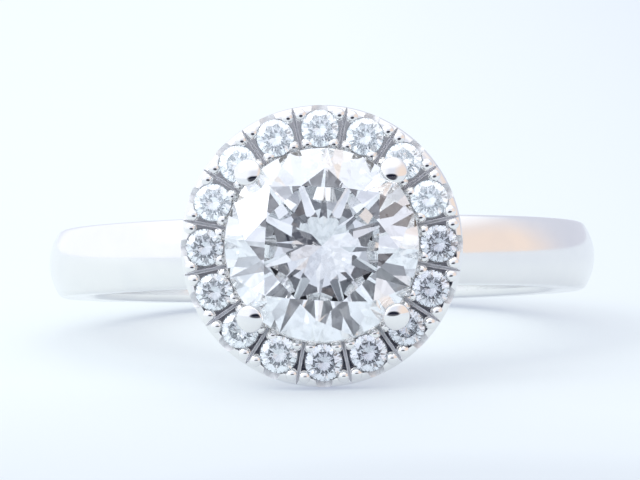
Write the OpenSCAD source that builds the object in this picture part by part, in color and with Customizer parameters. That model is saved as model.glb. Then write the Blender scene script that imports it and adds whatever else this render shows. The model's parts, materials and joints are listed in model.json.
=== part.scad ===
// Halo ring. A round brilliant is held by four ball-tipped claws. Small brilliants stand round it,
// each in a cut-down seat with four beads, and a plain domed band carries the head.
// The ring lies on its side, as it rests by itself: the rim of the halo and the far edge of the
// band touch the surface at z = 0, and the centre stone faces -Y and a little upwards.
// Lengths are in millimetres and angles in degrees.

/* [Band] */
// Diameter of the finger hole
bore_d = 16.5; // [14:0.1:22]
// Width of the band along the finger
band_w = 2.4; // [1.8:0.1:3.6]
// Thickness of the band at the crest of its dome
band_t = 1.6; // [1.3:0.05:2.4]
// How far the dome rises over the band's edges
dome_rise = 0.4; // [0.15:0.05:0.6]
// Rounding of the band's outer edges
outer_edge_r = 0.25; // [0.1:0.05:0.35]
// Rounding of the edges of the finger hole
bore_edge_r = 0.25; // [0.1:0.05:0.35]

/* [Centre stone] */
// Girdle diameter of the centre stone
stone_d = 6.5; // [5.5:0.1:8]
// Room between the culet and the crest of the band
culet_room = 0.6; // [0.3:0.05:1.5]
// How far the centre stone is turned from square in its claws
stone_turn = -4; // [-22:1:22]

/* [Brilliant cut] */
// Table width as a share of the girdle diameter
table_share = 0.63; // [0.53:0.01:0.66]
// Slope of the eight crown mains
crown_angle = 34.5; // [32:0.5:36]
// Slope of the eight pavilion mains
pavilion_angle = 41.8; // [39.5:0.1:42.5]
// How far the star facets reach from the table's edge towards the girdle, as a share
star_share = 0.5; // [0.4:0.01:0.6]
// How far the lower halves reach from the girdle towards the culet, as a share
lower_share = 0.82; // [0.7:0.01:0.88]
// Girdle thickness as a share of the girdle diameter
girdle_share = 0.03; // [0.025:0.005:0.05]

/* [Claws] */
// Radius of each claw's ball tip
tip_r = 0.47; // [0.42:0.01:0.6]
// Radius of the domed top of a tip
tip_dome_r = 0.75; // [0.65:0.01:1]
// Rounding of a tip's side
tip_side_r = 0.13; // [0.1:0.01:0.2]
// How far a tip leans outwards, less than its wire does
tip_lean = 24; // [15:1:32]
// Wire radius of a claw under its tip
claw_top_r = 0.38; // [0.3:0.01:0.4]
// Wire radius of a claw at its foot
claw_foot_r = 0.38; // [0.3:0.01:0.5]
// Distance of each claw's foot from the head's axis
foot_spread = 0.85; // [0.75:0.05:1.5]
// How far a tip's middle stands outside the centre girdle
tip_out = 0.22; // [0.1:0.01:0.3]
// Height of a tip's middle over the middle of the centre girdle
tip_rise = 0.27; // [0.2:0.01:0.5]

/* [Basket] */
// Outer radius of the collar that joins the feet to the band
collar_r = 1.03; // [0.93:0.05:1.18]
// Wall of the collar
collar_wall = 0.45; // [0.3:0.05:0.9]
// Height of the collar over the band's crest
collar_h = 0.35; // [0.2:0.05:0.6]
// How deep the collar and the feet are sunk in the band's crest
foot_sink = 0.4; // [0.3:0.05:0.6]
// Wire radius of the gallery rail that ties the claws together
rail_wire_r = 0.28; // [0.2:0.01:0.4]

/* [Halo] */
// Girdle diameter of a halo stone
halo_stone_d = 1.25; // [1:0.05:1.6]
// Least gap between the girdles of two halo stones
halo_stone_gap = 0.25; // [0.2:0.01:0.5]
// Gap between the centre girdle and the halo girdles, seen from the front
halo_girdle_gap = 0.065; // [0.03:0.005:0.3]
// How far the halo girdles lie behind the centre girdle
halo_drop = 0.45; // [0.35:0.05:1]
// Depth of the halo from its upper face to its underside
halo_t = 1.1; // [0.9:0.05:1.6]
// Metal of the rim outside the halo girdles
rim_wall = 0.185; // [0.1:0.005:0.4]
// Rounding of the upper edge of the rim
rim_top_round = 0.28; // [0.1:0.02:0.4]
// Rounding of the lower edge of the rim
rim_round = 0.25; // [0.1:0.05:0.4]
// Gap between the centre girdle and the halo's inner wall, seen from the front
inner_wall_gap = 0.04; // [0.02:0.01:0.1]
// Height of the inner wall over the floor
inner_wall_h = 0.5; // [0.3:0.05:0.7]
// How far the halo's floor reaches in from that wall under the centre stone
floor_reach = 0.5; // [0.3:0.05:0.8]
// Thickness of the floor at its inner edge
floor_edge_t = 0.2; // [0.1:0.05:0.4]

/* [Cut-down seats] */
// Half width of the channel cut through the rim at each halo stone
channel_r = 0.28; // [0.2:0.01:0.4]
// Width of the notch between two halo stones, at its mouth
notch_w = 0.12; // [0.1:0.01:0.3]
// Depth of that notch
notch_depth = 0.2; // [0.15:0.01:0.5]
// Radius of the light hole under each halo stone
light_hole_r = 0.28; // [0.2:0.01:0.35]
// Radius of a bead
bead_r = 0.23; // [0.18:0.01:0.27]
// Height of a bead's middle over the middle of its stone's girdle
bead_rise = -0.08; // [-0.12:0.01:0]
// How far an outer bead's middle stands outside its stone's girdle
outer_bead_out = 0.17; // [0.1:0.01:0.18]
// Angle of the outer beads from the line that runs out through their stone
outer_bead_turn = 55; // [48:1:60]
// How far an inner bead's middle stands outside its stone's girdle
inner_bead_out = 0.06; // [0.03:0.01:0.12]
// Angle of the inner beads from the line that runs in through their stone
inner_bead_turn = 40; // [30:1:50]

/* [Fits] */
// Clearance between a stone and its seat
seat_gap = 0.03; // [0.02:0.005:0.05]

/* [Hidden] */
$fn = 48;
// How far a rounded side runs into the dome that it meets, so that the two join
join = 0.005;
claw_count = 4;
main_count = 8;
// Steps of the girdle's outline along each half facet
centre_girdle_steps = 4;
halo_girdle_steps = 2;
// Turn of each halo stone about its own axis after the one before it
halo_stone_turn = 37;

// Brilliant cut of girdle radius r, with heights over the middle of the girdle
main_step = 360 / main_count;
half_step = main_step / 2;
function girdle_half(r) = girdle_share * r;
function table_r(r) = table_share * r;
function table_h(r) = girdle_half(r) + (r - table_r(r)) * tan(crown_angle);
function culet_h(r) = -girdle_half(r) - r * tan(pavilion_angle);
function table_flat_r(r) = table_r(r) * cos(half_step);
function star_r(r) = table_flat_r(r) + star_share * (r - table_flat_r(r));
function star_h(r) = girdle_half(r) + (r - star_r(r) * cos(half_step)) * tan(crown_angle);
function lower_r(r) = (1 - lower_share) * r;
function lower_h(r) = -girdle_half(r) - (r - lower_r(r) * cos(half_step)) * tan(pavilion_angle);

// Ring frame: the finger's axis is Z, and the head stands towards -Y
bore_r = bore_d / 2;
crest_r = bore_r + band_t;
dome_r = (pow(band_w / 2, 2) + pow(dome_rise, 2)) / (2 * dome_rise);
dome_x = crest_r - dome_r;
outer_edge = min(outer_edge_r, (band_t - dome_rise) / 2);
bore_edge = min(bore_edge_r, (band_t - dome_rise) / 2);
edge_z = band_w / 2 - outer_edge;
edge_x = dome_x + sqrt(pow(dome_r - outer_edge, 2) - pow(edge_z, 2));

// Head frame: the head's axis is Z, with the middle of the centre girdle at 0
stone_r = stone_d / 2;
girdle_reach = crest_r + culet_room - culet_h(stone_r);
crest_h = crest_r - girdle_reach;
foot_h = crest_h - foot_sink;
tip_x = stone_r + tip_out;
claw_lean = atan2(tip_x - foot_spread, tip_rise - foot_h);
claw_l = norm([tip_x - foot_spread, tip_rise - foot_h]);
tip_side = min(tip_side_r, tip_r / 2 - join);

halo_stone_r = halo_stone_d / 2;
halo_pitch_r = stone_r + halo_girdle_gap + halo_stone_r;
halo_count = 2 * floor(PI * halo_pitch_r / (halo_stone_d + halo_stone_gap));
halo_step = 360 / halo_count;
halo_girdle_h = -halo_drop;
halo_top_h = halo_girdle_h + girdle_half(halo_stone_r);
halo_base_h = halo_top_h - halo_t;
rim_r = halo_pitch_r + halo_stone_r + rim_wall;
inner_r = stone_r + inner_wall_gap;
notch_floor_h = halo_top_h - notch_depth;
rail_h = (crest_h + collar_h + halo_base_h) / 2;

// Rest: the surface touches the round under the halo's rim and the band's far lower edge, so it
// runs along the lower tangent of those two arcs
rim_arc_y = -girdle_reach - halo_base_h - rim_round;
rim_arc_z = rim_round - rim_r;
rest_tilt = atan2(-edge_z - rim_arc_z, edge_x - rim_arc_y)
          - asin((outer_edge - rim_round) / norm([edge_x - rim_arc_y, -edge_z - rim_arc_z]));
rest_lift = rim_round + rim_arc_y * sin(rest_tilt) - rim_arc_z * cos(rest_tilt);
table_reach = table_r(stone_r) * cos(half_step - abs(stone_turn));
front_y = -(girdle_reach + table_h(stone_r)) * cos(rest_tilt) - table_reach * sin(rest_tilt);
back_y = dome_x * cos(rest_tilt) + dome_r;
rest_y = -(front_y + back_y) / 2;

function halo_name(i) = str("halo_stone_", i < 9 ? "0" : "", i + 1);

// The unit normal to the right of the way from a to b
function right_of(a, b) = [b[1] - a[1], a[0] - b[0]] / norm(b - a);

// A profile from the axis to the axis, as [radius, height] points, grown outwards by g
function grown(p, g) = [for (i = [0 : len(p) - 1])
    let (before = i > 0 ? right_of(p[i - 1], p[i]) : undef,
         after = i < len(p) - 1 ? right_of(p[i], p[i + 1]) : undef,
         m = i > 0 ? before : [-after[0], after[1]],
         n = i < len(p) - 1 ? after : [-before[0], before[1]])
    p[i] + g * (m + n) / (1 + m * n)];

// Outermost profile of a brilliant, from its culet to the middle of its table
function stone_profile(r) = [
    [0, culet_h(r)],
    [lower_r(r), lower_h(r)],
    [r, -girdle_half(r)],
    [r, girdle_half(r)],
    [star_r(r), star_h(r)],
    [table_r(r), table_h(r)],
    [0, table_h(r)]];

// Places a child of the ring frame as the ring lies at rest
module at_rest() {
    translate([0, rest_y, rest_lift]) rotate([-rest_tilt, 0, 0]) children();
}

// Places a child of the head frame in the ring frame
module on_head() {
    translate([0, -girdle_reach, 0]) rotate([90, 0, 0]) children();
}

// Places a child at halo stone i, with +X pointing away from the head's axis
module at_halo_stone(i) {
    rotate([0, 0, 90 + i * halo_step]) translate([halo_pitch_r, 0, halo_girdle_h]) children();
}

// A round brilliant: the table, 8 stars, 8 crown mains, 16 upper halves, the girdle, 16 lower
// halves and 8 pavilion mains. The girdle's outline takes some steps along each half.
module brilliant(r, steps) {
    ring_count = 2 * main_count * steps;
    ring_step = 360 / ring_count;
    upper_slope = (star_h(r) - girdle_half(r)) / ((r - star_r(r)) * cos(half_step / 2));
    lower_slope = (-lower_h(r) - girdle_half(r)) / ((r - lower_r(r)) * cos(half_step / 2));
    function at(radius, turn, h) = [radius * cos(turn), radius * sin(turn), h];
    function bulge(j) = r * (cos((j % steps / steps - 0.5) * half_step) - cos(half_step / 2));
    points = concat(
        [for (k = [0 : main_count - 1]) at(table_r(r), k * main_step, table_h(r))],
        [for (k = [0 : main_count - 1]) at(star_r(r), k * main_step + half_step, star_h(r))],
        [for (j = [0 : ring_count - 1]) at(r, j * ring_step, girdle_half(r) - bulge(j) * upper_slope)],
        [for (j = [0 : ring_count - 1]) at(r, j * ring_step, bulge(j) * lower_slope - girdle_half(r))],
        [for (k = [0 : main_count - 1]) at(lower_r(r), k * main_step + half_step, lower_h(r))],
        [[0, 0, culet_h(r)]]);
    function corner(k) = k % main_count;
    function star(k) = main_count + (k + main_count) % main_count;
    function upper(j) = 2 * main_count + j % ring_count;
    function lower(j) = upper(j) + ring_count;
    function meet(k) = 2 * main_count + 2 * ring_count + (k + main_count) % main_count;
    culet = len(points) - 1;
    polyhedron(points, concat(
        [[for (k = [main_count - 1 : -1 : 0]) corner(k)]],
        [for (k = [0 : main_count - 1]) [star(k), corner(k), corner(k + 1)]],
        [for (k = [0 : main_count - 1]) [corner(k), star(k), upper(2 * k * steps), star(k - 1)]],
        [for (k = [0 : main_count - 1], half = [0, 1])
            concat([star(k)], [for (j = [steps : -1 : 0]) upper((2 * k + half) * steps + j)])],
        [for (j = [0 : ring_count - 1]) [upper(j), upper(j + 1), lower(j + 1), lower(j)]],
        [for (k = [0 : main_count - 1], half = [0, 1])
            concat([meet(k)], [for (j = [0 : steps]) lower((2 * k + half) * steps + j)])],
        [for (k = [0 : main_count - 1]) [culet, meet(k - 1), lower(2 * k * steps), meet(k)]]));
}

module centre_stone() {
    color("aliceblue") rotate([0, 0, half_step + stone_turn]) brilliant(stone_r, centre_girdle_steps);
}

module halo_stone(i) {
    color("lightsteelblue") at_halo_stone(i) rotate([0, 0, i * halo_stone_turn])
        brilliant(halo_stone_r, halo_girdle_steps);
}

// The room that a stone of girdle radius r takes with its clearance
module seat(r) {
    rotate_extrude() polygon(grown(stone_profile(r), seat_gap));
}

// The band: domed outside, straight through the finger hole, with rounded edges
module band() {
    dome_end_z = edge_z * dome_r / (dome_r - outer_edge);
    rotate_extrude() {
        polygon([
            [bore_r, bore_edge - band_w / 2],
            [bore_r + bore_edge, -band_w / 2],
            [edge_x, -band_w / 2],
            [edge_x, band_w / 2],
            [bore_r + bore_edge, band_w / 2],
            [bore_r, band_w / 2 - bore_edge]]);
        intersection() {
            translate([dome_x, 0]) rotate(180) circle(dome_r);
            translate([edge_x, -dome_end_z]) square([dome_r, 2 * dome_end_z]);
        }
        for (side = [-1, 1]) {
            translate([edge_x, side * (edge_z - join)]) rotate(180) circle(outer_edge + join);
            translate([bore_r + bore_edge, side * (band_w / 2 - bore_edge)]) circle(bore_edge);
        }
    }
}

// A claw: a round wire that leans outwards from its foot and ends in a low ball
module claw() {
    side_x = tip_r - tip_side;
    dome_y = -sqrt(pow(tip_dome_r - tip_side, 2) - pow(side_x, 2));
    dome_end_x = side_x * tip_dome_r / (tip_dome_r - tip_side);
    translate([foot_spread, 0, foot_h]) rotate([0, claw_lean, 0])
        cylinder(h = claw_l, r1 = claw_foot_r, r2 = claw_top_r);
    translate([tip_x, 0, tip_rise]) rotate([0, tip_lean, 0]) rotate_extrude() {
        translate([0, -tip_side]) square([side_x, tip_side]);
        translate([side_x - join, 0]) rotate(180) circle(tip_side + join);
        intersection() {
            translate([0, dome_y]) rotate(180) circle(tip_dome_r);
            square([dome_end_x, tip_dome_r]);
        }
    }
}

// The collar on the band's crest, and the wire rail half way up to the halo
module basket() {
    rail_r = foot_spread + (rail_h - foot_h) * tan(claw_lean);
    translate([0, 0, foot_h]) rotate_extrude()
        translate([collar_r - collar_wall, 0]) square([collar_wall, foot_sink + collar_h]);
    translate([0, 0, rail_h]) rotate_extrude() translate([rail_r, 0]) circle(rail_wire_r);
}

// The four beads that hold a halo stone
module beads() {
    for (spot = [[outer_bead_turn, outer_bead_out], [180 - inner_bead_turn, inner_bead_out]], side = [-1, 1])
        rotate([0, 0, side * spot[0]]) translate([halo_stone_r + spot[1], 0, bead_rise]) sphere(bead_r);
}

// The halo's bare ring: a rim and a floor, with a channel and a light hole at each stone
module rim() {
    difference() {
        rotate_extrude() {
            polygon([
                [inner_r - floor_reach, halo_base_h],
                [rim_r - rim_round, halo_base_h],
                [rim_r, halo_base_h + rim_round],
                [rim_r, halo_top_h - rim_top_round],
                [rim_r - rim_top_round, halo_top_h],
                [inner_r, halo_top_h],
                [inner_r, halo_top_h - inner_wall_h],
                [inner_r - floor_reach, halo_base_h + floor_edge_t]]);
            translate([rim_r - rim_round, halo_base_h + rim_round]) circle(rim_round);
            translate([rim_r - rim_top_round, halo_top_h - rim_top_round]) circle(rim_top_round);
        }
        for (i = [0 : halo_count - 1]) at_halo_stone(i) {
            rotate([0, 90, 0]) cylinder(h = 2 * halo_stone_d, r = channel_r, center = true);
            translate([0, 0, -2 * halo_t]) cylinder(h = 2 * halo_t, r = light_hole_r);
        }
    }
}

// The halo: its ring and its beads, with a notch cut through both between each two stones
module halo() {
    difference() {
        union() {
            rim();
            for (i = [0 : halo_count - 1]) at_halo_stone(i) beads();
        }
        for (i = [0 : halo_count - 1])
            rotate([90, 0, 90 + (i + 0.5) * halo_step]) linear_extrude(2 * rim_r) polygon([
                [0, notch_floor_h],
                [notch_w / 2, halo_top_h],
                [notch_w / 2, halo_top_h + bead_r],
                [-notch_w / 2, halo_top_h + bead_r],
                [-notch_w / 2, halo_top_h]]);
    }
}

// All the soldered metal, with a seat cut for each stone
module mounting() {
    color("whitesmoke") difference() {
        union() {
            band();
            on_head() {
                for (i = [0 : claw_count - 1]) rotate([0, 0, (i + 0.5) * 360 / claw_count]) claw();
                basket();
                halo();
            }
        }
        on_head() {
            seat(stone_r);
            for (i = [0 : halo_count - 1]) at_halo_stone(i) seat(halo_stone_r);
        }
    }
}

at_rest() mounting();
at_rest() on_head() centre_stone();
for (i = [0 : halo_count - 1])
    at_rest() on_head() halo_stone(i);
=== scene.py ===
import json
import math

import bmesh
import bpy
from mathutils import Matrix, Vector


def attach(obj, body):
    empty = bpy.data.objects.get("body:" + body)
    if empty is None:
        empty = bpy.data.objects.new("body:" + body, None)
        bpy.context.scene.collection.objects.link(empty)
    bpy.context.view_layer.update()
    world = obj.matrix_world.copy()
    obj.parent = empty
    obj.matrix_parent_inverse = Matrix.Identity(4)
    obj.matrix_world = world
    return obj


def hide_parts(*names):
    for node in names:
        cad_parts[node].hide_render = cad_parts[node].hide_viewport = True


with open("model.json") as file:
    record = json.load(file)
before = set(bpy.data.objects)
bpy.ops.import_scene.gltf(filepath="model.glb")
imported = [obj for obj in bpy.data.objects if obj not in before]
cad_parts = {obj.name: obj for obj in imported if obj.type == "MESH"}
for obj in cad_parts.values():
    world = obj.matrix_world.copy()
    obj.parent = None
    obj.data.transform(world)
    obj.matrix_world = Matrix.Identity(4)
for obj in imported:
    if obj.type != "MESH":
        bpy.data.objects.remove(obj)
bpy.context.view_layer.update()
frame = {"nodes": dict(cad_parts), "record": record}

# The band: a plain shank of 18 carat white gold, cast, filed to a low dome and polished all over.
# It is straight through the finger hole, and its edges are rounded so that it sits well on a finger.
# Everything is drawn in millimetres in the ring's own frame: the finger's axis is Z, the head is at -Y.
MM = 0.001
BORE_R = 8.25
BAND_W = 2.4
BAND_T = 1.6
DOME_RISE = 0.4
BAND_EDGE_R = 0.25
BAND_STEPS = 200
BORE_EDGE_STEPS = 7
CREST_EDGE_STEPS = 6
DOME_STEPS = 26
MERGE = 0.0004
SMOOTH_TO = math.radians(32)
GOLD = (0.885, 0.878, 0.868, 1)
GOLD_DULL = (0.85, 0.85, 0.852, 1)
CLOUD_DETAIL = 4
CLOUD_ROUGHNESS = 0.6
HAZE_FROM = (0.42, 0.72)
HAIRLINE_DETAIL = 2
HAIRLINE_FROM = (0.62, 0.72)
HAIRLINE_WAYS = (((0.3, 0.5, 0.2), (0.06, 1, 1)), ((1.1, 0.2, 1.9), (1, 0.05, 1)))
HAIRLINE_BUMP = 0.5


def arc(middle, r, start, end, steps):
    """Points in mm along an arc, from one angle to another in degrees."""
    turns = [math.radians(start + (end - start) * i / steps) for i in range(steps + 1)]
    return [(middle[0] + r * math.cos(a), middle[1] + r * math.sin(a)) for a in turns]


def pick(piece, test):
    """Selects the vertices of a piece in edit mode whose place passes a test, and what lies between them."""
    bpy.ops.mesh.select_mode(type="VERT")
    bpy.ops.mesh.select_all(action="DESELECT")
    mesh = bmesh.from_edit_mesh(piece.data)
    for vertex in mesh.verts:
        vertex.select_set(test(vertex.co))
    mesh.select_flush(True)
    bmesh.update_edit_mesh(piece.data)


def outlined(name, points):
    """A new piece that is only a closed outline in the XZ plane, left in edit mode and selected."""
    bpy.ops.object.select_all(action="DESELECT")
    bpy.ops.mesh.primitive_circle_add(vertices=len(points))
    piece = bpy.context.object
    piece.name = piece.data.name = name
    for vertex, (x, z) in zip(piece.data.vertices, points):
        vertex.co = (x, 0, z)
    bpy.ops.object.mode_set(mode="EDIT")
    bpy.ops.mesh.select_all(action="SELECT")
    return piece


def turned(name, points, steps, turn=360):
    """A closed piece spun round the Z axis from an outline of (radius, height) points."""
    piece = outlined(name, points)
    if any(x == 0 for x, z in points):
        pick(piece, lambda co: co.x == 0)
        bpy.ops.mesh.delete(type="EDGE")
        bpy.ops.mesh.select_all(action="SELECT")
    bpy.ops.mesh.spin(steps=steps, angle=math.radians(turn), center=(0, 0, 0), axis=(0, 0, 1))
    bpy.ops.mesh.select_all(action="SELECT")
    bpy.ops.mesh.remove_doubles(threshold=MERGE)
    if turn < 360:
        bpy.ops.mesh.select_non_manifold()
        bpy.ops.mesh.fill_holes(sides=0)
        bpy.ops.mesh.select_all(action="SELECT")
    bpy.ops.mesh.normals_make_consistent(inside=False)
    bpy.ops.object.mode_set(mode="OBJECT")
    return piece


def place(piece, where):
    """Sets a piece drawn in mm into the row frame, with its place in its mesh."""
    piece.data.transform(where @ Matrix.Diagonal((MM, MM, MM, 1)))


def finish_piece(piece, material, slot, *nodes):
    """Gives a finished piece its shading and finish, hangs it on what it rides on, and hides the parts of
    the model that it stands for.
    """
    bpy.ops.object.select_all(action="DESELECT")
    piece.select_set(True)
    bpy.context.view_layer.objects.active = piece
    bpy.ops.object.shade_smooth_by_angle(angle=SMOOTH_TO)
    if not piece.data.materials:
        piece.data.materials.append(material)
    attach(piece, "root")
    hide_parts(*nodes)


def plain_material(name):
    """A new material, with its node tree and its shader."""
    material = bpy.data.materials.new(name)
    material.use_nodes = True
    return material, material.node_tree, material.node_tree.nodes["Principled BSDF"]


def ramp(tree, value, start, full, low=0, high=1):
    """A value that goes from low to high while another goes from start to full."""
    step = tree.nodes.new("ShaderNodeMapRange")
    for label, number in (("From Min", start), ("From Max", full), ("To Min", low), ("To Max", high)):
        step.inputs[label].default_value = number
    tree.links.new(value, step.inputs["Value"])
    return step.outputs["Result"]


def computed(tree, operation, first, second):
    """One step of arithmetic, on numbers or on what other nodes put out."""
    step = tree.nodes.new("ShaderNodeMath")
    step.operation = operation
    for socket, value in zip(step.inputs, (first, second)):
        if isinstance(value, (int, float)):
            socket.default_value = value
        else:
            tree.links.new(value, socket)
    return step.outputs[0]


def mixed(tree, under, over, share):
    """A colour laid over another, or over what a node puts out, as far as the share says."""
    step = tree.nodes.new("ShaderNodeMix")
    step.data_type = "RGBA"
    step.inputs["B"].default_value = over
    if isinstance(under, tuple):
        step.inputs["A"].default_value = under
    else:
        tree.links.new(under, step.inputs["A"])
    tree.links.new(share, step.inputs["Factor"])
    return step.outputs["Result"]


def wear_group():
    """Fine marks that any polished surface has: slow clouds of haze and thin hairlines that cross."""
    group = bpy.data.node_groups.new("fine_marks", "ShaderNodeTree")
    for label, value in (("Cloud size", 1.2), ("Line size", 30.0), ("Line share", 0.4)):
        socket = group.interface.new_socket(label, in_out="INPUT", socket_type="NodeSocketFloat")
        socket.default_value = value
    for label in ("Haze", "Lines"):
        group.interface.new_socket(label, in_out="OUTPUT", socket_type="NodeSocketFloat")
    nodes, links = group.nodes, group.links
    given = nodes.new("NodeGroupInput")
    put_out = nodes.new("NodeGroupOutput")
    place_on = nodes.new("ShaderNodeTexCoord")
    in_mm = nodes.new("ShaderNodeVectorMath")
    in_mm.operation = "SCALE"
    in_mm.inputs["Scale"].default_value = 1 / MM
    links.new(place_on.outputs["Object"], in_mm.inputs[0])
    cloud = nodes.new("ShaderNodeTexNoise")
    cloud.inputs["Detail"].default_value = CLOUD_DETAIL
    cloud.inputs["Roughness"].default_value = CLOUD_ROUGHNESS
    links.new(in_mm.outputs[0], cloud.inputs["Vector"])
    links.new(given.outputs["Cloud size"], cloud.inputs["Scale"])
    links.new(ramp(group, cloud.outputs["Fac"], *HAZE_FROM), put_out.inputs["Haze"])
    crossing = []
    for turn, stretch in HAIRLINE_WAYS:
        way = nodes.new("ShaderNodeMapping")
        way.inputs["Rotation"].default_value = turn
        way.inputs["Scale"].default_value = stretch
        links.new(in_mm.outputs[0], way.inputs["Vector"])
        line = nodes.new("ShaderNodeTexNoise")
        line.inputs["Detail"].default_value = HAIRLINE_DETAIL
        links.new(way.outputs[0], line.inputs["Vector"])
        links.new(given.outputs["Line size"], line.inputs["Scale"])
        crossing.append(ramp(group, line.outputs["Fac"], *HAIRLINE_FROM))
    lines = computed(group, "MAXIMUM", *crossing)
    weakened = computed(group, "MULTIPLY", lines, given.outputs["Line share"])
    links.new(weakened, put_out.inputs["Lines"])
    return group


fine_marks = wear_group()


def marked_finish(name, colour, dull_colour, smooth, hazy, line_depth, sizes):
    """A Principled material whose colour, roughness and surface carry the fine marks."""
    material, tree, shader = plain_material(name)
    marks = tree.nodes.new("ShaderNodeGroup")
    marks.node_tree = fine_marks
    for label, value in sizes.items():
        marks.inputs[label].default_value = value
    haze, lines = marks.outputs["Haze"], marks.outputs["Lines"]
    tree.links.new(mixed(tree, colour, dull_colour, haze), shader.inputs["Base Color"])
    wear = computed(tree, "ADD", haze, lines)
    tree.links.new(ramp(tree, wear, 0, 1, smooth, hazy), shader.inputs["Roughness"])
    if line_depth:
        bump = tree.nodes.new("ShaderNodeBump")
        bump.inputs["Strength"].default_value = HAIRLINE_BUMP
        bump.inputs["Distance"].default_value = line_depth
        bump.invert = True
        tree.links.new(lines, bump.inputs["Height"])
        tree.links.new(bump.outputs["Normal"], shader.inputs["Normal"])
    return material, shader


def gold_finish(name, smooth, hazy, line_depth, sizes, bright=GOLD, dull=GOLD_DULL):
    """White gold with fine marks."""
    material, shader = marked_finish(name, bright, dull, smooth, hazy, line_depth, sizes)
    shader.inputs["Metallic"].default_value = 1.0
    return material


worn_gold = gold_finish(
    "worn_gold", smooth=0.1, hazy=0.16, line_depth=0.000002,
    sizes={"Cloud size": 0.5, "Line size": 22.0, "Line share": 0.6})

bore = frame["record"]["mounts"][0]
finger = Vector(bore["axis"]).normalized()
ring_at = Matrix((
    (1, 0, 0, bore["pos_m"][0]),
    (0, finger.z, finger.y, bore["pos_m"][1]),
    (0, -finger.y, finger.z, bore["pos_m"][2]),
    (0, 0, 0, 1)))

crest_r = BORE_R + BAND_T
dome_r = ((BAND_W / 2) ** 2 + DOME_RISE ** 2) / (2 * DOME_RISE)
dome_x = crest_r - dome_r
edge_z = BAND_W / 2 - BAND_EDGE_R
edge_x = dome_x + math.sqrt((dome_r - BAND_EDGE_R) ** 2 - edge_z ** 2)
dome_turn = math.degrees(math.atan2(edge_z, edge_x - dome_x))
band = turned("band", (
    arc((BORE_R + BAND_EDGE_R, -edge_z), BAND_EDGE_R, 180, 270, BORE_EDGE_STEPS)
    + arc((edge_x, -edge_z), BAND_EDGE_R, -90, -dome_turn, CREST_EDGE_STEPS)
    + arc((dome_x, 0), dome_r, -dome_turn, dome_turn, DOME_STEPS)[1:-1]
    + arc((edge_x, edge_z), BAND_EDGE_R, dome_turn, 90, CREST_EDGE_STEPS)
    + arc((BORE_R + BAND_EDGE_R, edge_z), BAND_EDGE_R, 90, 180, BORE_EDGE_STEPS)), BAND_STEPS)
place(band, ring_at)
finish_piece(band, worn_gold, "white_gold", "mounting")

# The collar: a short tube of white gold, soldered upright on the crest of the band.
# The feet of the four claws stand in it, and it carries the whole head.
STONE_R = 3.25
CULET_ROOM = 0.6
PAVILION_ANGLE = 41.8
GIRDLE_SHARE = 0.03
FOOT_SINK = 0.4
COLLAR_R = 1.03
COLLAR_WALL = 0.45
COLLAR_H = 0.35
COLLAR_EDGE = 0.06
COLLAR_STEPS = 64
COLLAR_EDGE_STEPS = 4

white_gold = gold_finish(
    "white_gold", smooth=0.05, hazy=0.1, line_depth=0.000001,
    sizes={"Cloud size": 0.9, "Line size": 26.0, "Line share": 0.4})

girdle_reach = crest_r + CULET_ROOM + STONE_R * (GIRDLE_SHARE + math.tan(math.radians(PAVILION_ANGLE)))
crest_h = crest_r - girdle_reach
foot_h = crest_h - FOOT_SINK
facing_out = Matrix.Rotation(math.radians(90), 4, "X")
head_at = ring_at @ Matrix.Translation((0, -girdle_reach * MM, 0)) @ facing_out

collar_top = crest_h + COLLAR_H
outer_edge = (COLLAR_R - COLLAR_EDGE, collar_top - COLLAR_EDGE)
inner_edge = (COLLAR_R - COLLAR_WALL + COLLAR_EDGE, collar_top - COLLAR_EDGE)
collar = turned("collar", (
    [(COLLAR_R - COLLAR_WALL, foot_h), (COLLAR_R, foot_h)]
    + arc(outer_edge, COLLAR_EDGE, 0, 90, COLLAR_EDGE_STEPS)
    + arc(inner_edge, COLLAR_EDGE, 90, 180, COLLAR_EDGE_STEPS)), COLLAR_STEPS)
place(collar, head_at)
finish_piece(collar, white_gold, "white_gold", "mounting")

# The gallery rail: a round wire bent to a ring and soldered to the inside of the four claws.
# It ties them together half way between the collar and the halo.
RAIL_WIRE_R = 0.28
RAIL_WIRE_STEPS = 24
RAIL_STEPS = 96
FOOT_SPREAD = 0.85
TIP_OUT = 0.22
TIP_RISE = 0.27
HALO_DROP = 0.45
HALO_STONE_R = 0.625
HALO_T = 1.1

halo_top = -HALO_DROP + GIRDLE_SHARE * HALO_STONE_R
halo_base = halo_top - HALO_T
tip_x = STONE_R + TIP_OUT
claw_lean = math.atan2(tip_x - FOOT_SPREAD, TIP_RISE - foot_h)
rail_h = (collar_top + halo_base) / 2
rail_r = FOOT_SPREAD + (rail_h - foot_h) * math.tan(claw_lean)
last_turn = 360 - 360 / RAIL_WIRE_STEPS
rail = turned(
    "gallery_rail", arc((rail_r, rail_h), RAIL_WIRE_R, 0, last_turn, RAIL_WIRE_STEPS - 1), RAIL_STEPS)
place(rail, head_at)
finish_piece(rail, white_gold, "white_gold", "mounting")

# The four claws: round wires that lean outwards from the collar to the girdle of the centre stone.
# Each ends in a low ball, notched for the stone's edge, burnished down over it and polished.
CLAW_R = 0.38
TIP_R = 0.47
TIP_DOME_R = 0.75
TIP_SIDE_R = 0.13
TIP_LEAN = 24.0
CLAW_COUNT = 4
CLAW_STEPS = 64
TIP_STEPS = 72
TIP_SIDE_STEPS = 14
TIP_DOME_STEPS = 12
SEAT_GAP = 0.03
CROWN_ANGLE = 34.5
TABLE_SHARE = 0.63
STAR_SHARE = 0.5
LOWER_SHARE = 0.82
MAIN_FACETS = 8
STONE_SEAT_STEPS = 192
HALO_SEAT_STEPS = 64
HALO_PITCH_R = 3.94
CUT_BRIGHT = (0.915, 0.918, 0.93, 1)
CUT_DULL = (0.88, 0.884, 0.9, 1)


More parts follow.
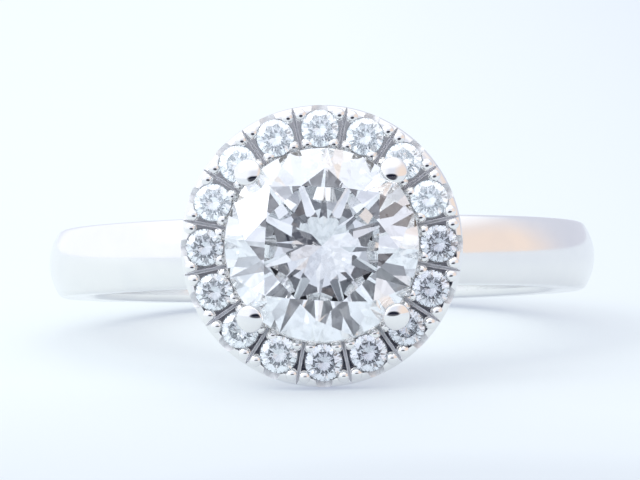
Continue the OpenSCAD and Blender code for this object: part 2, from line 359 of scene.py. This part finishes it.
def combine(piece, tool, operation, material):
    """Joins a closed tool to a piece or takes it away, finishes the new faces and deletes the tool."""
    tool.data.materials.append(material)
    bpy.context.view_layer.objects.active = piece
    modifier = piece.modifiers.new(operation.lower(), "BOOLEAN")
    modifier.operation = operation
    modifier.solver = "EXACT"
    modifier.material_mode = "TRANSFER"
    modifier.object = tool
    bpy.ops.object.modifier_apply(modifier=modifier.name)
    bpy.data.objects.remove(tool)


def seat_tool(r, steps):
    """The room that a brilliant of girdle radius r takes with its clearance, spun from its outline."""
    flat = math.cos(math.radians(180 / MAIN_FACETS))
    crown, pavilion = (math.tan(math.radians(a)) for a in (CROWN_ANGLE, PAVILION_ANGLE))
    half = GIRDLE_SHARE * r
    table_r = TABLE_SHARE * r
    star_r = table_r * flat + STAR_SHARE * (r - table_r * flat)
    lower_r = (1 - LOWER_SHARE) * r
    points = [Vector(p) for p in (
        (0, -half - r * pavilion),
        (lower_r, -half - (r - lower_r * flat) * pavilion),
        (r, -half),
        (r, half),
        (star_r, half + (r - star_r * flat) * crown),
        (table_r, half + (r - table_r) * crown),
        (0, half + (r - table_r) * crown))]
    sides = [(b - a).normalized() for a, b in zip(points, points[1:])]
    outward = [Vector((s.y, -s.x)) for s in sides]
    grown = []
    for i, point in enumerate(points):
        after = outward[min(i, len(outward) - 1)]
        before = outward[i - 1] if i else Vector((-after.x, after.y))
        if i == len(points) - 1:
            after = Vector((-before.x, before.y))
        spot = point + SEAT_GAP * (before + after) / (1 + before.dot(after))
        grown.append((0 if point.x == 0 else spot.x, spot.y))
    return turned("seat_tool", grown, steps)


def halo_seat_tool():
    """The room of the halo stone that lies straight out along X."""
    seat = seat_tool(HALO_STONE_R, HALO_SEAT_STEPS)
    seat.data.transform(Matrix.Translation((HALO_PITCH_R, 0, -HALO_DROP)))
    return seat


def copied(piece, name):
    """Another piece of the same shape, with a mesh of its own."""
    another = piece.copy()
    another.data = piece.data.copy()
    another.name = another.data.name = name
    bpy.context.scene.collection.objects.link(another)
    return another


cut_gold = gold_finish(
    "cut_gold", smooth=0.55, hazy=0.75, line_depth=0.000004,
    sizes={"Cloud size": 4.0, "Line size": 40.0, "Line share": 0.8},
    bright=CUT_BRIGHT, dull=CUT_DULL)

side_x = TIP_R - TIP_SIDE_R
claw_l = math.hypot(tip_x - FOOT_SPREAD, TIP_RISE - foot_h)
dome_drop = math.sqrt((TIP_DOME_R - TIP_SIDE_R) ** 2 - side_x ** 2)
brow_turn = math.degrees(math.atan2(dome_drop, side_x))
claw = turned("claw_1", [(0, 0), (CLAW_R, 0), (CLAW_R, claw_l), (0, claw_l)], CLAW_STEPS)
claw.data.transform(Matrix.Translation((FOOT_SPREAD, 0, foot_h)) @ Matrix.Rotation(claw_lean, 4, "Y"))
tip = turned("tip", (
    [(0, -TIP_SIDE_R)]
    + arc((side_x, 0), TIP_SIDE_R, -90, brow_turn, TIP_SIDE_STEPS)
    + arc((0, -dome_drop), TIP_DOME_R, brow_turn, 90, TIP_DOME_STEPS)[1:-1]
    + [(0, TIP_DOME_R - dome_drop)]), TIP_STEPS)
tip_turn = Matrix.Rotation(math.radians(TIP_LEAN), 4, "Y")
tip.data.transform(Matrix.Translation((tip_x, 0, TIP_RISE)) @ tip_turn)
claw.data.materials.append(white_gold)
combine(claw, tip, "UNION", white_gold)
combine(claw, seat_tool(STONE_R, STONE_SEAT_STEPS), "DIFFERENCE", cut_gold)
combine(claw, halo_seat_tool(), "DIFFERENCE", cut_gold)
claws = [claw] + [copied(claw, f"claw_{number}") for number in range(2, CLAW_COUNT + 1)]
for number, piece in enumerate(claws):
    claw_turn = math.radians((number + 0.5) * 360 / CLAW_COUNT)
    place(piece, head_at @ Matrix.Rotation(claw_turn, 4, "Z"))
    finish_piece(piece, white_gold, "white_gold", "mounting")

# The halo: a flat ring of white gold round the centre stone, with sixteen cut-down seats for small stones.
# A channel and a light hole are cut at each, a notch between each two, and four beads are raised
# from the edges with a graver and pressed over each girdle. One sector is made, and copied round.
HALO_COUNT = 16
SECTOR_STEPS = 12
RIM_R = 4.75
RIM_ROUND = 0.25
RIM_ROUND_STEPS = 6
RIM_TOP_ROUND = 0.28
RIM_TOP_STEPS = 7
INNER_R = 3.29
INNER_WALL_H = 0.5
FLOOR_REACH = 0.5
FLOOR_EDGE_T = 0.2
CHANNEL_R = 0.28
CHANNEL_STEPS = 48
NOTCH_W = 0.12
NOTCH_DEPTH = 0.2
LIGHT_HOLE_R = 0.28
LIGHT_HOLE_STEPS = 40
BEAD_R = 0.23
BEAD_RISE = -0.08
BEAD_SPOTS = ((55, 0.17), (140, 0.06), (-55, 0.17), (-140, 0.06))
BEAD_SEGMENTS = 32
BEAD_RINGS = 18
TWIN_REACH = 0.002

sector = 360 / HALO_COUNT
half_sector = math.radians(sector / 2)
notch_floor = halo_top - NOTCH_DEPTH
halo = turned("halo", (
    [(INNER_R - FLOOR_REACH, halo_base)]
    + arc((RIM_R - RIM_ROUND, halo_base + RIM_ROUND), RIM_ROUND, -90, 0, RIM_ROUND_STEPS)
    + arc((RIM_R - RIM_TOP_ROUND, halo_top - RIM_TOP_ROUND), RIM_TOP_ROUND, 0, 90, RIM_TOP_STEPS)
    + [(INNER_R, halo_top), (INNER_R, halo_top - INNER_WALL_H)]
    + [(INNER_R - FLOOR_REACH, halo_base + FLOOR_EDGE_T)]), SECTOR_STEPS, sector)
halo.data.materials.append(white_gold)
middle = sum((v.co for v in halo.data.vertices), Vector())
halo.data.transform(Matrix.Rotation(-math.atan2(middle.y, middle.x), 4, "Z"))

bpy.ops.mesh.primitive_cylinder_add(
    vertices=CHANNEL_STEPS, radius=CHANNEL_R, depth=4 * HALO_STONE_R,
    location=(HALO_PITCH_R, 0, -HALO_DROP), rotation=(0, math.radians(90), 0))
combine(halo, bpy.context.object, "DIFFERENCE", cut_gold)
bpy.ops.mesh.primitive_cylinder_add(
    vertices=LIGHT_HOLE_STEPS, radius=LIGHT_HOLE_R, depth=2 * HALO_T,
    location=(HALO_PITCH_R, 0, -HALO_DROP - HALO_T))
combine(halo, bpy.context.object, "DIFFERENCE", cut_gold)
for turn, outside in BEAD_SPOTS:
    reach = HALO_STONE_R + outside
    bpy.ops.mesh.primitive_uv_sphere_add(
        segments=BEAD_SEGMENTS, ring_count=BEAD_RINGS, radius=BEAD_R,
        location=(
            HALO_PITCH_R + reach * math.cos(math.radians(turn)),
            reach * math.sin(math.radians(turn)),
            BEAD_RISE - HALO_DROP))
    combine(halo, bpy.context.object, "UNION", white_gold)
for side in (-1, 1):
    notch = outlined("notch", [
        (0, notch_floor),
        (NOTCH_W / 2, halo_top),
        (NOTCH_W / 2, halo_top + BEAD_R),
        (-NOTCH_W / 2, halo_top + BEAD_R),
        (-NOTCH_W / 2, halo_top)])
    bpy.ops.mesh.edge_face_add()
    bpy.ops.mesh.extrude_region_move(TRANSFORM_OT_translate={"value": (0, 2 * RIM_R, 0)})
    bpy.ops.mesh.select_all(action="SELECT")
    bpy.ops.mesh.normals_make_consistent(inside=False)
    bpy.ops.object.mode_set(mode="OBJECT")
    notch.data.transform(Matrix.Rotation(math.radians(-90) + side * half_sector, 4, "Z"))
    combine(halo, notch, "DIFFERENCE", cut_gold)
combine(halo, halo_seat_tool(), "DIFFERENCE", cut_gold)


def on_seam(co):
    """True for a point on one of the two planes at which the sector meets its neighbours."""
    return abs(abs(co.y) * math.cos(half_sector) - co.x * math.sin(half_sector)) < MERGE


def across_seam(co):
    """Where a point of the seam lies on its own plane: its radius and its height."""
    return Vector((math.hypot(co.x, co.y), co.z))


def lacks_a_twin(co):
    """True for a point on one seam that has no fellow at the same place on the other one."""
    return on_seam(co) and not any(
        side != (co.y > 0) and (spot - across_seam(co)).length < TWIN_REACH for side, spot in seam_spots)


bpy.context.view_layer.objects.active = halo
bpy.ops.object.mode_set(mode="EDIT")
bpy.ops.mesh.select_mode(type="FACE")
bpy.ops.mesh.select_all(action="DESELECT")
mesh = bmesh.from_edit_mesh(halo.data)
for face in mesh.faces:
    face.select_set(all(on_seam(vertex.co) for vertex in face.verts))
bmesh.update_edit_mesh(halo.data)
bpy.ops.mesh.delete(type="FACE")
bpy.ops.object.mode_set(mode="OBJECT")
seam_spots = [(v.co.y > 0, across_seam(v.co)) for v in halo.data.vertices if on_seam(v.co)]
bpy.ops.object.mode_set(mode="EDIT")
pick(halo, lacks_a_twin)
bpy.ops.mesh.dissolve_verts()
bpy.ops.object.mode_set(mode="OBJECT")

bpy.ops.object.select_all(action="DESELECT")
for station in range(1, HALO_COUNT):
    another = copied(halo, f"halo_sector_{station}")
    another.data.transform(Matrix.Rotation(math.radians(station * sector), 4, "Z"))
    another.select_set(True)
halo.select_set(True)
bpy.context.view_layer.objects.active = halo
bpy.ops.object.join()
bpy.ops.object.mode_set(mode="EDIT")
bpy.ops.mesh.select_mode(type="VERT")
bpy.ops.mesh.select_all(action="SELECT")
bpy.ops.mesh.remove_doubles(threshold=MERGE)
bpy.ops.object.mode_set(mode="OBJECT")
place(halo, head_at)
finish_piece(halo, white_gold, "white_gold", "mounting")

# The centre stone: a one carat round brilliant with a table, 56 facets and a fine faceted girdle.
# It is the solid from the model, polished so that only the faintest haze breaks its mirror facets.
DIAMOND_IOR = 2.417
ICE = (0.945, 0.975, 1.0, 1)
ICE_HAZE = (0.915, 0.95, 0.99, 1)


def diamond_finish(name, tint, tint_haze, smooth, hazy, sizes):
    """Clear diamond with fine marks, too shallow for a bump."""
    material, shader = marked_finish(name, tint, tint_haze, smooth, hazy, line_depth=0, sizes=sizes)
    shader.inputs["Transmission Weight"].default_value = 1.0
    shader.inputs["IOR"].default_value = DIAMOND_IOR
    return material


def dress_stone(node, material):
    """Gives a stone from the model its finish, in place of the one that it came with."""
    stone = frame["nodes"][node]
    stone.data.materials.clear()
    stone.data.materials.append(material)


centre_cut = diamond_finish(
    "centre_diamond", ICE, ICE_HAZE, smooth=0.0, hazy=0.012,
    sizes={"Cloud size": 0.7, "Line size": 16.0, "Line share": 0.3})
dress_stone("centre_stone", centre_cut)

# The sixteen halo stones: round brilliants of 1.25 mm, each turned its own way in its seat. Small stones
# are hazier than a large one. Their cool white comes in three copies with painted light and shade: pale
# on the brightly lit stones at the top, deep on the shaded ones at the right and bottom, and one between.
# The two paler copies also give off a faint blue painted glow, though they are no lamps.
PAINTED_BLUE_GLOW = (0.72, 0.86, 1.0, 1)
# Each row: name, tint, hazy tint, smooth and hazy roughness, painted glow and stations. The tints are
# painted light and shade.
LIT_AND_SHADED_STONES = (
    ("pale", (0.97, 0.99, 1.0, 1), (0.95, 0.98, 1.0, 1), 0.05, 0.09, 0.05, (14, 15, 16, 1, 2, 3, 4)),
    ("cool", (0.93, 0.97, 1.0, 1), (0.89, 0.94, 0.98, 1), 0.04, 0.08, 0.01, (5, 6, 7, 8)),
    ("deep", (0.87, 0.91, 0.97, 1), (0.83, 0.88, 0.95, 1), 0.04, 0.07, 0.0, (9, 10, 11, 12, 13)))

for shade, tint, tint_haze, smooth, hazy, glow, numbers in LIT_AND_SHADED_STONES:
    halo_cut = diamond_finish(
        f"halo_diamond_painted_light_{shade}", tint, tint_haze, smooth, hazy,
        sizes={"Cloud size": 1.6, "Line size": 24.0, "Line share": 0.3})
    # Painted glow: the paler copies give off a faint blue light of their own, though they are no lamps.
    halo_shader = halo_cut.node_tree.nodes["Principled BSDF"]
    halo_shader.inputs["Emission Color"].default_value = PAINTED_BLUE_GLOW
    halo_shader.inputs["Emission Strength"].default_value = glow
    for number in numbers:
        dress_stone(f"halo_stone_{number:02d}", halo_cut)

# The floor: a wide sheet of white acrylic, lit softly from below, so that it glows a little in the shade.
# Its white has a touch of lavender. Painted shade darkens it towards the right and the front,
# where the ring's shadow lies and the light falls off.
FLOOR_SIZE = 4.0
FLOOR_ROUGHNESS = 0.85
FLOOR_PALE = (0.475, 0.515, 0.455, 1)
FLOOR_PAINTED_SHADE = (0.4, 0.435, 0.405, 1)
FLOOR_GLOW = (0.72, 0.775, 1.0, 1)
GLOW_STRENGTH = 0.44
PAINTED_SHADE_RIGHT = (0, 0.022)
PAINTED_SHADE_FRONT = (-0.008, -0.028)

bpy.ops.object.select_all(action="DESELECT")
bpy.ops.mesh.primitive_plane_add(size=FLOOR_SIZE)
floor = bpy.context.object
floor.name = "floor"
acrylic, sheet, sheet_shader = plain_material("floor_acrylic")
sheet_shader.inputs["Roughness"].default_value = FLOOR_ROUGHNESS
sheet_shader.inputs["Emission Color"].default_value = FLOOR_GLOW
sheet_shader.inputs["Emission Strength"].default_value = GLOW_STRENGTH
sheet_place = sheet.nodes.new("ShaderNodeTexCoord")
sheet_spot = sheet.nodes.new("ShaderNodeSeparateXYZ")
sheet.links.new(sheet_place.outputs["Object"], sheet_spot.inputs[0])
# Painted shade: the sheet's colour darkens towards the right and the front of the ring.
to_right = ramp(sheet, sheet_spot.outputs["X"], *PAINTED_SHADE_RIGHT)
to_front = ramp(sheet, sheet_spot.outputs["Y"], *PAINTED_SHADE_FRONT)
painted_shade_share = computed(sheet, "MAXIMUM", to_right, to_front)
sheet.links.new(mixed(sheet, FLOOR_PALE, FLOOR_PAINTED_SHADE, painted_shade_share), sheet_shader.inputs["Base Color"])
floor.data.materials.append(acrylic)

# The light: a tent of white cloth, brightest overhead and at the left, warm at the right and greyer behind,
# and one soft lamp high on the left. The tent's mouth, in front, is an oval through which the dark room
# shows. Only reflections show it, and its edge is soft.
CLOTH = (0.86, 0.9, 1.02, 1)
GLOWS = (
    ((1.1, 1.14, 1.24, 1), (-0.98, 0, 0.2), 0.1, 0.5),
    ((1.0, 0.86, 0.78, 1), (0.98, -0.17, 0), 0.5, 0.9),
    ((0.72, 0.75, 0.86, 1), (0.5, 0.866, 0), 0.6, 0.95),
    ((1.4, 1.42, 1.45, 1), (0, 0, 1), 0.6, 0.95))
DARK = (0.012, 0.015, 0.032, 1)
MOUTH_TURN = 9.0
MOUTH_HALF_TURN = 32.0
MOUTH_RISE = -2.0
MOUTH_HALF_RISE = 16.0
MOUTH_SOFT = (0.7, 1.4)
LAMP_AT = (-0.28, -0.1, 0.3)
LAMP_SIZE = 0.25
LAMP_POWER = 0.35
LAMP_COLOUR = (1.0, 0.99, 0.97)

world = bpy.data.worlds.new("tent")
bpy.context.scene.world = world
world.use_nodes = True
tent = world.node_tree
way = tent.nodes.new("ShaderNodeTexCoord").outputs["Generated"]
parts = tent.nodes.new("ShaderNodeSeparateXYZ")
tent.links.new(way, parts.inputs[0])

cloth = CLOTH
for colour, towards, start, full in GLOWS:
    facing = tent.nodes.new("ShaderNodeVectorMath")
    facing.operation = "DOT_PRODUCT"
    facing.inputs[1].default_value = towards
    tent.links.new(way, facing.inputs[0])
    cloth = mixed(tent, cloth, colour, ramp(tent, facing.outputs["Value"], start, full))

ahead = computed(tent, "MULTIPLY", parts.outputs["Y"], -1)
turn_there = computed(tent, "ARCTAN2", parts.outputs["X"], ahead)
rise_there = computed(tent, "ARCSINE", parts.outputs["Z"], 0)
off_middle = []
for angle, mouth_middle, half in (
        (turn_there, MOUTH_TURN, MOUTH_HALF_TURN), (rise_there, MOUTH_RISE, MOUTH_HALF_RISE)):
    off = computed(tent, "SUBTRACT", angle, math.radians(mouth_middle))
    share = computed(tent, "DIVIDE", off, math.radians(half))
    off_middle.append(computed(tent, "MULTIPLY", share, share))
soft_edge = ramp(tent, computed(tent, "ADD", *off_middle), MOUTH_SOFT[1], MOUTH_SOFT[0])
rays = tent.nodes.new("ShaderNodeLightPath")
unseen = computed(tent, "SUBTRACT", 1, rays.outputs["Is Camera Ray"])
in_mouth = computed(tent, "MULTIPLY", soft_edge, unseen)
tent.links.new(mixed(tent, cloth, DARK, in_mouth), tent.nodes["Background"].inputs["Color"])

lamp_data = bpy.data.lights.new("soft_lamp", "AREA")
lamp_data.shape = "DISK"
lamp_data.size = LAMP_SIZE
lamp_data.energy = LAMP_POWER
lamp_data.color = LAMP_COLOUR
lamp = bpy.data.objects.new("soft_lamp", lamp_data)
lamp.location = LAMP_AT
lamp.rotation_euler = (-lamp.location).to_track_quat("-Z", "Y").to_euler()
bpy.context.scene.collection.objects.link(lamp)

# The dark table in front: it shows past the front edge of the white sheet, and only in reflections.
# It spreads out from the ring like a fan, and fades into the sheet where the mouth's soft lower edge would.
FAN_STEPS = 24
FAN_ROWS = 12
TABLE_FAR = 1.6
TABLE_ROUGHNESS = 0.9
SHEET_LIFT = 0.0002

head_y, head_z = head_at.translation.yz
far_fall = math.degrees(math.atan(head_z / TABLE_FAR))
bpy.ops.object.select_all(action="DESELECT")
bpy.ops.mesh.primitive_grid_add(x_subdivisions=FAN_STEPS, y_subdivisions=FAN_ROWS)
dark_table = bpy.context.object
dark_table.name = "dark_table"
cover = dark_table.data.attributes.new("cover", "FLOAT", "POINT")
for vertex, cover_here in zip(dark_table.data.vertices, cover.data):
    across = vertex.co.x * math.sqrt(MOUTH_SOFT[1])
    near_fall = MOUTH_HALF_RISE * math.sqrt(max(MOUTH_SOFT[1] - across ** 2, 0)) - MOUTH_RISE
    fall = far_fall + (near_fall - far_fall) * (1 - vertex.co.y) / 2
    off_here = across ** 2 + ((fall + MOUTH_RISE) / MOUTH_HALF_RISE) ** 2
    cover_here.value = min(max((MOUTH_SOFT[1] - off_here) / (MOUTH_SOFT[1] - MOUTH_SOFT[0]), 0), 1)
    reach = head_z / math.tan(math.radians(fall))
    fan_turn = math.radians(MOUTH_TURN + across * MOUTH_HALF_TURN)
    vertex.co = (reach * math.sin(fan_turn), head_y - reach * math.cos(fan_turn), SHEET_LIFT)
table_top, top_tree, top_shader = plain_material("table_top")
top_shader.inputs["Base Color"].default_value = DARK
top_shader.inputs["Roughness"].default_value = TABLE_ROUGHNESS
cover_on = top_tree.nodes.new("ShaderNodeAttribute")
cover_on.attribute_name = "cover"
top_tree.links.new(cover_on.outputs["Fac"], top_shader.inputs["Alpha"])
dark_table.data.materials.append(table_top)
dark_table.visible_camera = dark_table.visible_diffuse = dark_table.visible_shadow = False

# The camera: a long lens that looks at the centre stone from in front, a little under the head's own axis.
# Light passes many facets before it leaves a stone, so its paths are long.
PHOTO_W = 640
LENS_PX = 4925
SENSOR_W = 36
CLIP_START = 0.005
CAMERA_REACH = 0.165
CAMERA_RISE = 6.88
CAMERA_ROLL = 0.95
STONE_OFF_MIDDLE = (1.8, 4.9)

camera_data = bpy.data.cameras.new("camera")
camera_data.sensor_width = SENSOR_W
camera_data.lens = LENS_PX * SENSOR_W / PHOTO_W
camera_data.clip_start = CLIP_START
camera = bpy.data.objects.new("camera", camera_data)
rise = math.radians(CAMERA_RISE)
towards = Vector((0, math.cos(rise), -math.sin(rise)))
roll = Matrix.Rotation(math.radians(-CAMERA_ROLL), 4, "Z")
camera_turn = towards.to_track_quat("-Z", "Y").to_matrix().to_4x4() @ roll
px = CAMERA_REACH / LENS_PX
nudge = camera_turn @ Vector((-STONE_OFF_MIDDLE[0] * px, STONE_OFF_MIDDLE[1] * px, 0))
camera_at = Matrix.Translation(head_at.translation - towards * CAMERA_REACH + nudge)
camera.matrix_world = camera_at @ camera_turn
bpy.context.scene.collection.objects.link(camera)
bpy.context.scene.camera = camera

scene = bpy.context.scene
scene.view_settings.view_transform = "Standard"
scene.cycles.max_bounces = 32
scene.cycles.transmission_bounces = 28
scene.cycles.glossy_bounces = 16
scene.cycles.diffuse_bounces = 3
scene.cycles.sample_clamp_indirect = 8
